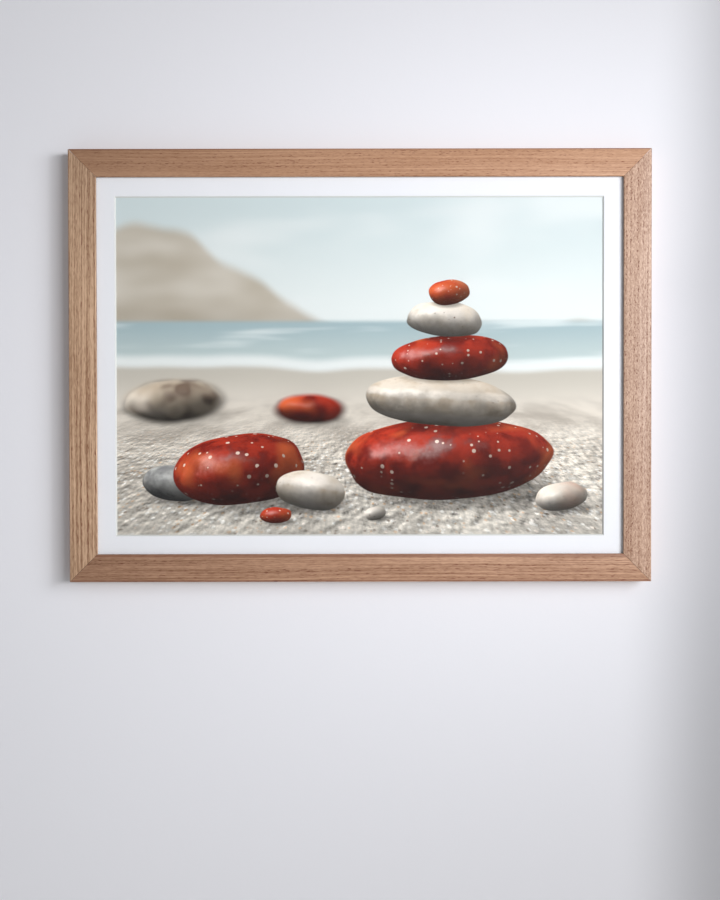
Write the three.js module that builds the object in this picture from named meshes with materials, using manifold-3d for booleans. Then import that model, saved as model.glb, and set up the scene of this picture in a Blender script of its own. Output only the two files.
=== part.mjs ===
// A framed print that hangs on a wall: an oak moulding with mitred corners, glazing, a bevelled
// window mat, the print on its mount board, and a backing board held in by turn buttons. Two strap
// hangers carry a D-ring each, and four rubber bumpers keep the frame off the wall.
// X runs across the picture, Y from the room to the wall and Z up. The origin is the centre of the box.

import * as THREE from "three";
import { mergeVertices } from "three/addons/utils/BufferGeometryUtils.js";
import Module from "manifold-3d";

const wasm = await Module();
wasm.setup();

// Driving dimensions, in millimetres.
const WIDTH = 700;
const HEIGHT = 520;
const DEPTH = 27; // from the moulding's front face to the wall
const GAP = 0.3; // between pieces that touch, and in every cut

const MOULDING = { face: 33.5, depth: 22, lip: 3.5, overlap: 6.5, ease: 1.2, backEase: 0.5 };
const SHEET_CLEARANCE = 1; // round the sheets, inside the rebate
const GLAZING_THICKNESS = 1;
// The window's size at the front, and how far its centre lies from the sheet's centre.
const MAT = { thickness: 1.6, windowWidth: 589, windowHeight: 409, windowAcross: -0.7, windowUp: -0.4 };
const PRINT = { width: 594, height: 420, thickness: 0.5 };
const MOUNT_BOARD_THICKNESS = 10;
const BACKING_THICKNESS = 3.2;

const NAIL = { leg: 7, thickness: 0.8, depth: 9, fromCorner: [16, 29] }; // V-nails, on the mitre
const SCREW = { shank: 1.5, head: 3.4, headHeight: 1.9, length: 13, sides: 18 }; // radii first
const BUTTON = { eye: 5.5, tip: 4, reach: 13, thickness: 1.2, fromRebate: 9.5 };
const BUTTONS_ALONG = { rail: [-220, 0, 220], stile: [-20] };
const BUMPER = { radius: 6, chamfer: 0.7, fromEnd: 48, sides: 28 };

const RING = { wire: 1.1, halfWidth: 8, corner: 2.4, height: 14, seam: 0.6, fromCentre: 95 };
// The strap's fold reaches this far down past the bar, and its last stretch, the lip, lies flat.
const STRAP = { width: 11, thickness: 0.9, tail: 29, fold: 5.2, lip: 1, screws: [9, 23.5] };

// Places worked out from them.
const FRONT = -DEPTH / 2;
const WALL = DEPTH / 2;
const BACK = FRONT + MOULDING.depth; // the moulding's back face
const REBATE_AT = MOULDING.face - MOULDING.overlap; // from the outer edge to the rebate's wall
const SHEET_WIDTH = WIDTH - 2 * (REBATE_AT + SHEET_CLEARANCE);
const SHEET_HEIGHT = HEIGHT - 2 * (REBATE_AT + SHEET_CLEARANCE);
const ON_BACK = BACK + GAP; // where hardware sits
const LAND_MIDDLE = REBATE_AT / 2; // the middle of the back face, from the outer edge

const MATERIALS = {
  oak: { color: "#b88d70", roughness: 0.55, metalness: 0 },
  glass: { color: "#eef4f3", roughness: 0.05, metalness: 0 },
  mat: { color: "#eeeff2", roughness: 0.9, metalness: 0 },
  print: { color: "#bca9a1", roughness: 0.45, metalness: 0 },
  board: { color: "#e8e6df", roughness: 0.9, metalness: 0 },
  hardboard: { color: "#8a6a4b", roughness: 0.8, metalness: 0 },
  steel: { color: "#b9bbbd", roughness: 0.35, metalness: 1 },
  rubber: { color: "#3a3a3b", roughness: 0.85, metalness: 0 },
};

function mesh(name, geometry, finish) {
  const made = new THREE.Mesh(geometry, new THREE.MeshStandardMaterial(MATERIALS[finish]));
  made.name = name;
  return made;
}

// Booleans work on closed solids, whose shared vertices are merged.
function solidOf(geometry) {
  const bare = new THREE.BufferGeometry();
  bare.setAttribute("position", geometry.getAttribute("position"));
  bare.setIndex(geometry.index);
  const merged = mergeVertices(bare, 1e-4);
  return new wasm.Manifold(
    new wasm.Mesh({
      numProp: 3,
      vertProperties: new Float32Array(merged.getAttribute("position").array),
      triVerts: new Uint32Array(merged.index.array),
    }),
  );
}

function geometryOf(solid) {
  const { vertProperties, triVerts } = solid.getMesh();
  const geometry = new THREE.BufferGeometry();
  geometry.setAttribute("position", new THREE.BufferAttribute(vertProperties, 3));
  geometry.setIndex(new THREE.BufferAttribute(triVerts, 1));
  geometry.computeVertexNormals();
  return geometry;
}

function cut(geometry, tools) {
  let solid = solidOf(geometry);
  for (const tool of tools) {
    solid = solid.subtract(solidOf(tool));
  }
  return geometryOf(solid);
}

// An outline drawn in X and Z, as thick as depth towards the wall.
function upright(shape, depth, curveSegments = 12) {
  const geometry = new THREE.ExtrudeGeometry(shape, { depth, bevelEnabled: false, curveSegments });
  geometry.rotateX(Math.PI / 2);
  geometry.translate(0, depth, 0);
  return geometry;
}

// A round piece about the Y axis. The profile is [radius, y] pairs, from low y to high y.
function turned(profile, sides) {
  const points = profile.map(([radius, y]) => new THREE.Vector2(radius, y));
  return new THREE.LatheGeometry(points, sides);
}

function pin(radius, from, to, sides = SCREW.sides) {
  return turned([[0, from], [radius, from], [radius, to], [0, to]], sides);
}

// ---- The moulding ----

// Its section: x is the distance in from the outer edge, y is depth. The front edges are rounded,
// and the rebate behind the lip holds the sheets.
function mouldingSection() {
  const { face, lip, ease, backEase } = MOULDING;
  const section = new THREE.Shape();
  section.moveTo(0, BACK - backEase);
  section.lineTo(0, FRONT + ease);
  section.absarc(ease, FRONT + ease, ease, Math.PI, 1.5 * Math.PI, false);
  section.lineTo(face - ease, FRONT);
  section.absarc(face - ease, FRONT + ease, ease, 1.5 * Math.PI, 2 * Math.PI, false);
  section.lineTo(face, FRONT + lip);
  section.lineTo(REBATE_AT, FRONT + lip);
  section.lineTo(REBATE_AT, BACK);
  section.lineTo(backEase, BACK);
  section.closePath();
  return section;
}

// A member lies along X with its outer edge at z = -offset. Each end is sawn at 45 degrees, so a
// point's place along the member depends on how far in from the outer edge it is.
function member(length, offset) {
  const geometry = new THREE.ExtrudeGeometry(mouldingSection(), {
    depth: 1,
    steps: 1,
    curveSegments: 4,
    bevelEnabled: false,
  });
  const at = geometry.getAttribute("position");
  for (let i = 0; i < at.count; i++) {
    const inward = at.getX(i);
    const half = length / 2 - inward - GAP / Math.SQRT2;
    at.setXYZ(i, at.getZ(i) > 0.5 ? -half : half, at.getY(i), inward - offset);
  }
  return geometry;
}

// A V-nail is a right-angled strip that straddles the mitre, one leg in each member.
function nailOutline(thickness, leg) {
  const slant = Math.SQRT1_2;
  const side = (thickness / 2) * slant;
  const end = leg * slant;
  const apex = thickness * slant;
  const outline = new THREE.Shape();
  outline.moveTo(apex, 0);
  outline.lineTo(-end + side, end + side);
  outline.lineTo(-end - side, end - side);
  outline.lineTo(-apex, 0);
  outline.lineTo(-end - side, -end + side);
  outline.lineTo(-end + side, -end - side);
  outline.closePath();
  return outline;
}

// The nail, or with a clearance the pocket it is driven into, at a corner of the frame.
function nailAt(cornerX, cornerZ, fromCorner, clearance) {
  const thickness = NAIL.thickness + 2 * clearance;
  const depth = NAIL.depth + 4 * clearance; // so that a pocket is open at the back
  const geometry = upright(nailOutline(thickness, NAIL.leg + clearance), depth);
  const inwardX = -Math.sign(cornerX) * Math.SQRT1_2;
  const inwardZ = -Math.sign(cornerZ) * Math.SQRT1_2;
  geometry.rotateY(-Math.atan2(inwardZ, inwardX));
  geometry.translate(
    cornerX + inwardX * fromCorner,
    BACK - GAP - NAIL.depth - clearance,
    cornerZ + inwardZ * fromCorner,
  );
  return geometry;
}

function screwGeometry() {
  const { shank, head, headHeight, length, sides } = SCREW;
  const profile = [[0, -length], [shank, -length + 2 * shank], [shank, 0], [head, 0]];
  profile.push([head, 0.45 * headHeight], [0.82 * head, 0.82 * headHeight]);
  profile.push([0.5 * head, headHeight], [0, headHeight]);
  return turned(profile, sides);
}

function pilotHole(along, height, under) {
  const hole = pin(SCREW.shank + GAP, under - SCREW.length - GAP, BACK + 1);
  return hole.translate(along, 0, height);
}

// ---- What fastens and carries ----

const BUTTON_SCREW_AT = ON_BACK + BUTTON.thickness + GAP; // under the head of a turn button's screw
const STRAP_SCREW_AT = ON_BACK + STRAP.thickness + GAP;

// A turn button points inwards along +Z from its screw: a large eye, straight flanks, a small tip.
function buttonGeometry() {
  const { eye, tip, reach, thickness } = BUTTON;
  const lean = Math.asin((eye - tip) / reach);
  const outline = new THREE.Shape();
  outline.absarc(0, 0, eye, Math.PI - lean, 2 * Math.PI + lean, false);
  outline.absarc(0, reach, tip, lean, Math.PI - lean, false);
  outline.closePath();
  const eyeHole = new THREE.Path();
  eyeHole.absarc(0, 0, SCREW.shank + GAP, 0, 2 * Math.PI, true);
  outline.holes.push(eyeHole);
  return upright(outline, thickness, 8);
}

function bumperGeometry() {
  const { radius, chamfer } = BUMPER;
  return turned(
    [[0, ON_BACK], [radius, ON_BACK], [radius, WALL - chamfer], [radius - chamfer, WALL], [0, WALL]],
    BUMPER.sides,
  );
}

// The D-ring's wire is bent flat in X and Z: a straight bar in the strap's fold, and a round bow above.
// Its two ends meet in the middle of the bar.
class RingLine extends THREE.Curve {
  constructor() {
    super();
    const { halfWidth, corner, height, seam } = RING;
    this.outline = new THREE.Path();
    this.outline.moveTo(seam / 2, 0);
    this.outline.lineTo(halfWidth - corner, 0);
    this.outline.absarc(halfWidth - corner, corner, corner, -Math.PI / 2, 0, false);
    this.outline.lineTo(halfWidth, height - halfWidth);
    this.outline.absarc(0, height - halfWidth, halfWidth, 0, Math.PI, false);
    this.outline.lineTo(-halfWidth, corner);
    this.outline.absarc(corner - halfWidth, corner, corner, Math.PI, 1.5 * Math.PI, false);
    this.outline.lineTo(-seam / 2, 0);
  }

  getPoint(t, target = new THREE.Vector3()) {
    const { x, y } = this.outline.getPointAt(t);
    return target.set(x, 0, y);
  }
}

function ringGeometry() {
  const wire = new THREE.Shape();
  wire.absarc(0, 0, RING.wire, 0, 2 * Math.PI, false);
  return new THREE.ExtrudeGeometry(wire, {
    extrudePath: new RingLine(),
    steps: 44,
    curveSegments: 5,
    bevelEnabled: false,
  });
}

// The strap lies on the moulding's back, folds round the ring's bar and ends on itself. It is drawn
// as a section in Y and Z, with the bar's centre at z = 0, and is as wide as the strap along X.
const FOLD_INNER = RING.wire + GAP;
const FOLD_OUTER = FOLD_INNER + STRAP.thickness;
const BAR_AT = ON_BACK + FOLD_OUTER; // how far back the bar's centre is

function strapGeometry() {
  const { width, thickness, tail, fold, lip, screws } = STRAP;
  const lap = ON_BACK + thickness + GAP; // where the folded end rests on the strap
  // Past the bar the fold leaves its circle at this angle and slants back down to the strap.
  const bend = Math.asin((BAR_AT - lap - thickness / 2) / (FOLD_INNER + thickness / 2));
  const section = new THREE.Shape();
  section.moveTo(ON_BACK, -tail);
  section.lineTo(ON_BACK, 0);
  section.absarc(BAR_AT, 0, FOLD_OUTER, Math.PI, -bend, true);
  section.lineTo(lap + thickness, -fold + lip);
  section.lineTo(lap + thickness, -fold);
  section.lineTo(lap, -fold);
  section.lineTo(lap, -fold + 1.4 * lip);
  section.absarc(BAR_AT, 0, FOLD_INNER, -bend, Math.PI, false);
  section.lineTo(ON_BACK + thickness, -tail);
  section.closePath();
  const geometry = new THREE.ExtrudeGeometry(section, {
    depth: width,
    curveSegments: 14,
    bevelEnabled: false,
  });
  const inPlace = new THREE.Matrix4().makeBasis(
    new THREE.Vector3(0, 1, 0),
    new THREE.Vector3(0, 0, 1),
    new THREE.Vector3(1, 0, 0),
  );
  geometry.applyMatrix4(inPlace);
  geometry.translate(-width / 2, 0, 0);
  const holes = screws.map((down) => {
    const hole = pin(SCREW.shank + GAP, ON_BACK - 1, ON_BACK + thickness + 1);
    return hole.translate(0, 0, -down);
  });
  return cut(geometry, holes);
}

// ---- The frame, put together ----

const framedPrint = new THREE.Group();

// Each member has a group of its own, turned about Y, in which it is the bottom one. Its turn
// buttons are named as seen from the room, so those of the top rail run from right to left.
const SIDES = [
  { name: "rail_bottom", edge: "bottom", turn: 0, buttons: ["left", "middle", "right"] },
  { name: "rail_top", edge: "top", turn: Math.PI, buttons: ["right", "middle", "left"] },
  { name: "stile_left", edge: "left", turn: Math.PI / 2, hanger: -1 },
  { name: "stile_right", edge: "right", turn: -Math.PI / 2, hanger: 1 },
];

for (const { name, edge, turn, buttons, hanger } of SIDES) {
  const length = hanger ? HEIGHT : WIDTH;
  const offset = (hanger ? WIDTH : HEIGHT) / 2;
  const side = new THREE.Group();
  side.rotation.y = turn;
  framedPrint.add(side);

  const screwHeight = REBATE_AT - BUTTON.fromRebate - offset;
  const along = hanger ? BUTTONS_ALONG.stile.map((up) => up * hanger) : BUTTONS_ALONG.rail;
  const holes = along.map((x) => pilotHole(x, screwHeight, BUTTON_SCREW_AT));
  for (const down of hanger ? STRAP.screws : []) {
    const x = hanger * (RING.fromCentre - down);
    holes.push(pilotHole(x, LAND_MIDDLE - offset, STRAP_SCREW_AT));
  }
  for (const end of [-1, 1]) {
    for (const fromCorner of NAIL.fromCorner) {
      holes.push(nailAt((end * length) / 2, -offset, fromCorner, GAP));
    }
  }
  side.add(mesh(name, cut(member(length, offset), holes), "oak"));

  along.forEach((x, i) => {
    const tag = buttons ? `${edge}_${buttons[i]}` : edge;
    const button = mesh(`turn_button_${tag}`, buttonGeometry(), "steel");
    button.position.set(x, ON_BACK, screwHeight);
    const screw = mesh(`button_screw_${tag}`, screwGeometry(), "steel");
    screw.position.set(x, BUTTON_SCREW_AT, screwHeight);
    side.add(button, screw);
  });
}

// V-nails, two to a mitre.
for (const [vertical, z] of [["top", HEIGHT / 2], ["bottom", -HEIGHT / 2]]) {
  for (const [across, x] of [["left", -WIDTH / 2], ["right", WIDTH / 2]]) {
    NAIL.fromCorner.forEach((fromCorner, i) => {
      const name = `v_nail_${vertical}_${across}_${i === 0 ? "outer" : "inner"}`;
      framedPrint.add(mesh(name, nailAt(x, z, fromCorner, 0), "steel"));
    });
    const bumper = mesh(`bumper_${vertical}_${across}`, bumperGeometry(), "rubber");
    bumper.position.set(x - Math.sign(x) * BUMPER.fromEnd, 0, z - Math.sign(z) * LAND_MIDDLE);
    framedPrint.add(bumper);
  }
}

// The strap hangers and their rings, on the stiles.
for (const [across, sign] of [["left", -1], ["right", 1]]) {
  const hanger = new THREE.Group();
  hanger.position.set(sign * (WIDTH / 2 - LAND_MIDDLE), 0, RING.fromCentre);
  const ring = mesh(`d_ring_${across}`, ringGeometry(), "steel");
  ring.position.y = BAR_AT;
  hanger.add(mesh(`strap_hanger_${across}`, strapGeometry(), "steel"), ring);
  STRAP.screws.forEach((down, i) => {
    const place = i === 0 ? "upper" : "lower";
    const screw = mesh(`strap_screw_${across}_${place}`, screwGeometry(), "steel");
    screw.position.set(0, STRAP_SCREW_AT, -down);
    hanger.add(screw);
  });
  framedPrint.add(hanger);
}

// ---- The sheets in the rebate, from the lip backwards ----

function sheet(thickness, width = SHEET_WIDTH, height = SHEET_HEIGHT) {
  return new THREE.BoxGeometry(width, thickness, height).translate(0, thickness / 2, 0);
}

// The window is cut at 45 degrees, wider at the front.
function matGeometry() {
  const { thickness, windowWidth, windowHeight, windowAcross, windowUp } = MAT;
  const spare = 1; // the cutting tool stands out this far on both sides
  const tool = new THREE.BoxGeometry(1, thickness + 2 * spare, 1);
  const at = tool.getAttribute("position");
  for (let i = 0; i < at.count; i++) {
    const narrower = at.getY(i) > 0 ? 2 * (thickness + spare) : -2 * spare;
    at.setX(i, (Math.sign(at.getX(i)) * (windowWidth - narrower)) / 2);
    at.setZ(i, (Math.sign(at.getZ(i)) * (windowHeight - narrower)) / 2);
  }
  tool.translate(windowAcross, thickness / 2, windowUp);
  return cut(sheet(thickness), [tool]);
}

const SHEETS = [
  ["glazing", GLAZING_THICKNESS, sheet(GLAZING_THICKNESS), "glass"],
  ["window_mat", MAT.thickness, matGeometry(), "mat"],
  ["print", PRINT.thickness, sheet(PRINT.thickness, PRINT.width, PRINT.height), "print"],
  ["mount_board", MOUNT_BOARD_THICKNESS, sheet(MOUNT_BOARD_THICKNESS), "board"],
  ["backing_board", BACKING_THICKNESS, sheet(BACKING_THICKNESS), "hardboard"],
];

let depthAt = FRONT + MOULDING.lip;
for (const [name, thickness, geometry, finish] of SHEETS) {
  depthAt += GAP;
  const piece = mesh(name, geometry, finish);
  piece.position.y = depthAt;
  framedPrint.add(piece);
  depthAt += thickness;
}

export default framedPrint;
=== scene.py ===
"""A framed print that hangs on a wall: oak moulding, glazing, window mat, print and backing."""

import math

import bmesh
import bpy
from mathutils import Matrix, Vector


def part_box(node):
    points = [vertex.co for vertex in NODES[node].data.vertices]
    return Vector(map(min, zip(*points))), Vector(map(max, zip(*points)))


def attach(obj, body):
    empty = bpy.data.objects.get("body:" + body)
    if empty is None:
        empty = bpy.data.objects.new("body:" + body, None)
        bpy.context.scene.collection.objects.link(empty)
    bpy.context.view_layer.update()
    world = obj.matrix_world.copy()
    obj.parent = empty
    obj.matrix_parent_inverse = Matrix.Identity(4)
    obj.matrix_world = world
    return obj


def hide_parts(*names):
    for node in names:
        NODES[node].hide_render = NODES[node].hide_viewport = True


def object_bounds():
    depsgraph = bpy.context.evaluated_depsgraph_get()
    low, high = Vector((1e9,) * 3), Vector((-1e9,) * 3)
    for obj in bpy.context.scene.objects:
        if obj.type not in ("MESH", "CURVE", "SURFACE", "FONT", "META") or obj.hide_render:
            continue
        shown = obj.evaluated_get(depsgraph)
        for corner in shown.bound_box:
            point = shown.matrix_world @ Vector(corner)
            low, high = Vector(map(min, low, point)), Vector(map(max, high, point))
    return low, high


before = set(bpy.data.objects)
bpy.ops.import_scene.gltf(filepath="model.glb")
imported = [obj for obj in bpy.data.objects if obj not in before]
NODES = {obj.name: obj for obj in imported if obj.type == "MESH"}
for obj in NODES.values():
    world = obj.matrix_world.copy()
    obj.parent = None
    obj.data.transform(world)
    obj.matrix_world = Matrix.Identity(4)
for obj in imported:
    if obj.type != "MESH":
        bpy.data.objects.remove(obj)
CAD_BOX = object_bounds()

MM = 0.001

# Sizes of the moulding, in metres. X runs across the picture, Y towards the wall and Z up.
OUTER_LOW, OUTER_HIGH = CAD_BOX
WIDTH = OUTER_HIGH.x - OUTER_LOW.x
HEIGHT = OUTER_HIGH.z - OUTER_LOW.z
FRONT = OUTER_LOW.y
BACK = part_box("rail_bottom")[1].y  # the moulding's back face
WALL = OUTER_HIGH.y
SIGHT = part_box("rail_bottom")[1].z - OUTER_LOW.z  # the moulding's width in front
GAP = 0.3 * MM  # between pieces that touch
LIP_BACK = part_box("glazing")[0].y - GAP  # of the lip in front of the glazing
SHEET_CLEARANCE = 1.0 * MM  # round the sheets, inside the rebate
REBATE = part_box("glazing")[0].z - OUTER_LOW.z - SHEET_CLEARANCE  # from the outer edge to its wall


# ---- Colour, camera and lights ----

def linear(red, green, blue):
    """A colour in display values, 0 to 255, as the linear colour that a socket takes."""
    def one(v):
        v /= 255
        return v / 12.92 if v <= 0.04045 else ((v + 0.055) / 1.055) ** 2.4
    return (one(red), one(green), one(blue), 1.0)


# The camera stands before the picture, a little below its middle, and looks slightly down.
LENS, SENSOR = 50, 36  # in millimetres
CAMERA_ACROSS, CAMERA_UP, CAMERA_DISTANCE = -0.0003, -0.0790, 1.502
CAMERA_DOWN, CAMERA_ROLL = 0.85, 0.095  # in degrees


def camera():
    made = bpy.data.objects.new("camera", bpy.data.cameras.new("camera"))
    made.data.lens = LENS
    made.data.sensor_width = SENSOR
    made.location = (CAMERA_ACROSS, FRONT - CAMERA_DISTANCE, CAMERA_UP)
    made.rotation_euler = (math.radians(90 - CAMERA_DOWN), math.radians(CAMERA_ROLL), 0)
    bpy.context.scene.collection.objects.link(made)
    bpy.context.scene.camera = made


def area_light(name, place, target, size, power, colour, spread):
    light = bpy.data.lights.new(name, "AREA")
    light.spread = math.radians(spread)
    light.shape = "RECTANGLE"
    light.size, light.size_y = size
    light.energy = power
    light.color = colour
    made = bpy.data.objects.new(name, light)
    made.location = place
    made.rotation_euler = (Vector(target) - Vector(place)).to_track_quat("-Z", "Y").to_euler()
    made.visible_camera = False
    bpy.context.scene.collection.objects.link(made)
    return made


camera()


# ---- Node graphs ----

class Value:
    """An output of a node, in arithmetic. Each operator on it adds one Math node."""

    def __init__(self, graph, socket):
        self.graph = graph
        self.socket = socket

    def __add__(self, other):
        return self.graph.math("ADD", self, other)

    def __sub__(self, other):
        return self.graph.math("SUBTRACT", self, other)

    def __rsub__(self, other):
        return self.graph.math("SUBTRACT", other, self)

    def __mul__(self, other):
        return self.graph.math("MULTIPLY", self, other)

    def __truediv__(self, other):
        return self.graph.math("DIVIDE", self, other)

    def __rtruediv__(self, other):
        return self.graph.math("DIVIDE", other, self)

    def __pow__(self, other):
        return self.graph.math("POWER", self, other)

    __radd__ = __add__
    __rmul__ = __mul__


class Graph:
    """A node tree, built node by node."""

    def __init__(self, tree):
        self.tree = tree

    def node(self, kind, settings=None, inputs=None):
        """Adds a node: its settings first, then the values or links of its inputs."""
        made = self.tree.nodes.new(kind)
        for key, value in (settings or {}).items():
            setattr(made, key, value)
        for key, value in (inputs or {}).items():
            for one in value if isinstance(value, list) else [value]:
                if isinstance(one, Value):
                    self.tree.links.new(one.socket, made.inputs[key])
                else:
                    made.inputs[key].default_value = one
        return made

    def out(self, kind, settings=None, inputs=None, output=0):
        return Value(self, self.node(kind, settings, inputs).outputs[output])

    def math(self, operation, *values):
        return self.out("ShaderNodeMath", {"operation": operation}, dict(enumerate(values)))

    def vector(self, operation, *values, output=0):
        inputs = dict(enumerate(values))
        return self.out("ShaderNodeVectorMath", {"operation": operation}, inputs, output)

    def join(self, x, y, z):
        return self.out("ShaderNodeCombineXYZ", None, {0: x, 1: y, 2: z})

    def split(self, vector):
        return [Value(self, s) for s in self.node("ShaderNodeSeparateXYZ", None, {0: vector}).outputs]


class Finish(Graph):
    """A material."""

    def __init__(self, name):
        self.material = bpy.data.materials.new(name)
        self.material.use_nodes = True
        super().__init__(self.material.node_tree)
        self.tree.nodes.clear()

    def place(self):
        """Where a point is, in metres in the frame's own coordinates."""
        return self.out("ShaderNodeTexCoord", output="Object")

    def dot(self, a, b):
        return self.vector("DOT_PRODUCT", a, b, output="Value")

    def step(self, value, start, end, low=0.0, high=1.0):
        """A smooth step, from low at start to high at end."""
        if start > end:
            start, end, low, high = end, start, high, low
        inputs = {"Value": value, "From Min": start, "From Max": end, "To Min": low, "To Max": high}
        return self.out("ShaderNodeMapRange", {"interpolation_type": "SMOOTHSTEP"}, inputs)

    def mix(self, factor, a, b):
        """Colour a where the factor is 0 and colour b where it is 1."""
        return self.out("ShaderNodeMix", {"data_type": "RGBA"}, {0: factor, 6: a, 7: b}, 2)

    def tint(self, colour, amount):
        """A colour made lighter or darker by a number that varies."""
        inputs = {0: colour if isinstance(colour, Value) else colour[:3], "Scale": amount}
        return self.out("ShaderNodeVectorMath", {"operation": "SCALE"}, inputs)

    def move(self, vector, location=(0, 0, 0), rotation=(0, 0, 0), scale=(1, 1, 1), kind="POINT"):
        inputs = {"Vector": vector, "Location": location, "Rotation": rotation, "Scale": scale}
        return self.out("ShaderNodeMapping", {"vector_type": kind}, inputs)

    def noise(self, vector, scale, detail=2.0, roughness=0.5, output=0):
        inputs = {"Vector": vector, "Scale": scale, "Detail": detail, "Roughness": roughness}
        return self.out("ShaderNodeTexNoise", None, inputs, output)

    def cells(self, vector, scale):
        """The distance to the nearest cell's centre, and that cell's own random colour."""
        made = self.node("ShaderNodeTexVoronoi", None, {"Vector": vector, "Scale": scale})
        return Value(self, made.outputs["Distance"]), Value(self, made.outputs["Color"])

    def bump(self, height, distance, strength=1.0):
        inputs = {"Height": height, "Distance": distance, "Strength": strength}
        return self.out("ShaderNodeBump", None, inputs)

    def surface(self, **inputs):
        """A Principled shader on the output. Input names have _ for a space."""
        named = {key.replace("_", " "): value for key, value in inputs.items()}
        shader = self.out("ShaderNodeBsdfPrincipled", None, named)
        self.node("ShaderNodeOutputMaterial", None, {"Surface": shader})
        return self.material


# ---- Oak ----

PORE, EDGE_SHADE = linear(112, 58, 33), linear(118, 66, 46)  # in the open pores, and painted shade along the eased edges
# How many of each mark there are to a metre across the grain.
RINGS, LINES, PORES, SPECKS = 240, 720, 760, 860


def oak(name, upright, seed, pale, brown, streaks, specks, dash, shade, edges=()):
    """Straight-grained oak for one member. The grain runs up a stile and along a rail.

    streaks says how strong the long lines are and specks the short ones, dash how long the short
    ones are in metres, and shade how light the member is at its start, in the middle and at its end:
    partly the wood's own tone and partly painted light, standing in for the lights' falloff and sheen.
    edges are lines of painted shade along the grain, on eased edges that turn from the light: where
    each lies, half its width and how dark it is.
    """
    f = Finish(name)
    x, y, z = f.split(f.place())
    along, across, length = (z, x, HEIGHT) if upright else (x, z, WIDTH)
    sway = f.noise(f.join(along * 2.4 + seed * 5.1, across * 14, y * 14), 1.0)
    log = f.join(along + seed * 0.7, across + seed * 0.13 + (sway - 0.5) * 0.014 + y * 0.35, y)

    # Growth rings lie some millimetres apart. Most pores are in rows in the early wood.
    rings = f.noise(f.move(log, scale=(2.2, RINGS, RINGS)), 1.0, 1.5)
    early = f.step(rings, 0.40, 0.60)
    lines = f.noise(f.move(log, location=(1.7, 0, 0), scale=(4, LINES, LINES)), 1.0, 1.5, 0.6)
    short = f.noise(f.move(log, scale=(1 / dash, SPECKS, SPECKS)), 1.0, 2.0, 0.6)
    pores = f.noise(f.move(log, location=(3.3, 0, 0), scale=(1.4 / dash, PORES, PORES)), 1.0, 1.0)
    open_pores = f.step(pores, 0.56, 0.70) * f.step(lines, 0.60, 0.40, 0.25, 1.0)
    open_pores = open_pores * (0.4 + early * 0.6)
    cloud = f.noise(f.move(log, scale=(5, 26, 26)), 1.0)

    light = (0.5 + (lines - 0.5) * streaks + (short - 0.5) * specks - (early - 0.5) * 0.2
             - (cloud - 0.5) * 0.6)
    colour = f.mix(open_pores * specks * 0.6, f.mix(light, brown, pale), PORE)
    # The tint along the member is partly the wood's own tone and partly painted light: it stands in for
    # the falloff and sheen of the lights along the frame.
    start, middle, end = shade
    run = along / length
    bow = (run * 2) ** 2 * ((start + end) / 2 - middle)
    colour = f.tint(colour, middle + bow + run * (end - start))
    # Lines of painted shade along the eased edges, where they turn from the light.
    for spot, width, amount in edges:
        line = f.math("ABSOLUTE", across - spot)
        colour = f.mix(f.step(line, width, width * 0.2) * amount, colour, EDGE_SHADE)
    height = (lines - 0.5) * 0.5 + (short - 0.5) * 0.6 - open_pores
    rough = 0.44 + open_pores * 0.22 + early * 0.08 - (short - 0.5) * 0.3
    return f.surface(Base_Color=colour, Roughness=rough, Normal=f.bump(height, 0.06 * MM, 0.7),
                     Specular_IOR_Level=0.62)


# ---- Plain finishes ----

MAT_FACE, MAT_CORE = linear(248, 246, 251), linear(229, 228, 226)


def card(name, colour):
    f = Finish(name)
    place = f.place()
    grain = f.noise(f.move(place, scale=(1, 1, 1.6)), 1500.0, 3.0, 0.7)
    cloud = f.noise(place, 9.0)
    fleck = f.noise(place, 420.0)
    tone = 0.965 + cloud * 0.03 + (grain - 0.5) * 0.015 + (fleck - 0.5) * 0.01
    return f.surface(Base_Color=f.tint(colour, tone), Roughness=0.86 + (grain - 0.5) * 0.1,
                     Normal=f.bump(grain, 0.04 * MM, 0.25), Specular_IOR_Level=0.25)


def foam_board():
    """A paper face on each side of a foam core, which shows at the edges."""
    f = Finish("foam board")
    place = f.place()
    low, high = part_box("mount_board")
    _, y, _ = f.split(place)
    depth = f.math("ABSOLUTE", y - (low.y + high.y) / 2)
    paper = (high.y - low.y) / 2 - 0.3 * MM
    bubbles, _ = f.cells(place, 1400.0)
    core = f.step(depth, paper, paper - 0.1 * MM)
    grain = f.noise(place, 900.0, 3.0)
    colour = f.mix(core, linear(236, 235, 230), linear(246, 246, 244))
    colour = f.tint(colour, 1 - core * bubbles * 0.2 - grain * 0.04)
    return f.surface(Base_Color=colour, Roughness=0.9 - core * 0.1,
                     Normal=f.bump(core * bubbles + grain * 0.2, 0.1 * MM, 0.5))


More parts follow.
